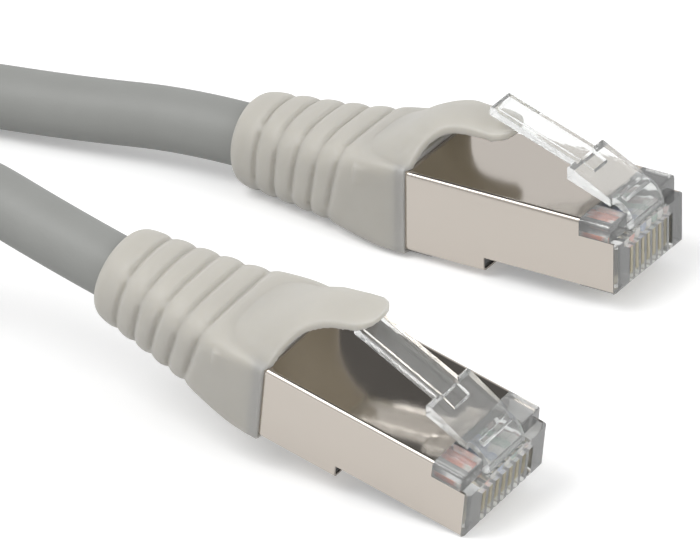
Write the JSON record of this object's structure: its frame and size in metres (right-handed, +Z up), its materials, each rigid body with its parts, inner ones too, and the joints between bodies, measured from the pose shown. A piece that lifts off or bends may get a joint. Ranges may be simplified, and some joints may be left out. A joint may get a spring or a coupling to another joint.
{
  "type": "ethernet patch cable",
  "caption": "Shielded ethernet patch cable, grey round cord, two plugs with milky boots and clear latches, spare length coiled.",
  "frame": {"origin": "on the resting surface, under the middle of the box round the two plugs", "axes": "+X towards the far plug's nose, along that plug; +Y from the near plug towards the far one; +Z up"},
  "size_m": [0.1615, 0.0899, 0.0206],
  "materials": {
    "cable_jacket": "extruded PVC jacket, satin",
    "boot": "soft moulded PVC, milky and slightly translucent",
    "shell": "nickel-plated folded brass sheet",
    "clear_plastic": "clear moulded polycarbonate",
    "gold": "gold-plated phosphor bronze",
    "guide": "clear moulded wire guide",
    "foil": "aluminium-backed polyester foil",
    "braid": "tinned copper braid folded back over the jacket",
    "white_insulation": "polyethylene insulation",
    "orange_insulation": "polyethylene insulation",
    "blue_insulation": "polyethylene insulation",
    "green_insulation": "polyethylene insulation",
    "brown_insulation": "polyethylene insulation"
  },
  "bodies": {
    "root": {"boot_near": "boot", "shield_shell_near": "shell", "plug_body_near": "clear_plastic", "contacts_near": "gold", "wire_guide_near": "guide", "strain_wedge_near": "clear_plastic", "foil_screen_near": "foil", "jacket_end_near": "cable_jacket", "braid_fold_near": "braid", "crimp_collar_near": "shell", "wire_white_orange_near": "white_insulation", "wire_orange_near": "orange_insulation", "wire_white_green_near": "white_insulation", "wire_blue_near": "blue_insulation", "wire_white_blue_near": "white_insulation", "wire_green_near": "green_insulation", "wire_white_brown_near": "white_insulation", "wire_brown_near": "brown_insulation", "boot_far": "boot", "shield_shell_far": "shell", "plug_body_far": "clear_plastic", "contacts_far": "gold", "wire_guide_far": "guide", "strain_wedge_far": "clear_plastic", "foil_screen_far": "foil", "jacket_end_far": "cable_jacket", "braid_fold_far": "braid", "crimp_collar_far": "shell", "wire_white_orange_far": "white_insulation", "wire_orange_far": "orange_insulation", "wire_white_green_far": "white_insulation", "wire_blue_far": "blue_insulation", "wire_white_blue_far": "white_insulation", "wire_green_far": "green_insulation", "wire_white_brown_far": "white_insulation", "wire_brown_far": "brown_insulation", "cord_near": "cable_jacket", "cord_far": "cable_jacket", "cord_coil": "cable_jacket"},
    "near_latch": {"latch_near": "clear_plastic"},
    "far_latch": {"latch_far": "clear_plastic"},
    "near_hood": {"hood_near": "boot"},
    "far_hood": {"hood_far": "boot"}
  },
  "joints": [
    {"name": "press_near_latch", "type": "hinge", "parent": "root", "child": "near_latch", "pos_m": [0.02571, -0.02184, 0.00634], "axis": [-0.0912, -0.9817, -0.1675], "range_deg": [0, 6], "stiffness_Nm_per_rad": 0.02},
    {"name": "flex_near_hood", "type": "hinge", "parent": "root", "child": "near_hood", "pos_m": [0.00294, -0.02111, 0.01445], "axis": [0.0912, 0.9817, 0.1675], "range_deg": [0, 8.6], "stiffness_Nm_per_rad": 0.01},
    {"name": "press_far_latch", "type": "hinge", "parent": "root", "child": "far_latch", "pos_m": [0.01521, 0.02154, 0.0075], "axis": [0, -1, 0], "range_deg": [0, 7], "stiffness_Nm_per_rad": 0.02},
    {"name": "flex_far_hood", "type": "hinge", "parent": "root", "child": "far_hood", "pos_m": [-0.00877, 0.02154, 0.0106], "axis": [0, 1, 0], "range_deg": [0, 7.2], "stiffness_Nm_per_rad": 0.01}
  ],
  "couplings": [
    {"joint": "flex_near_hood", "follows": "press_near_latch", "ratio": 1.4},
    {"joint": "flex_far_hood", "follows": "press_far_latch", "ratio": 1}
  ]
}
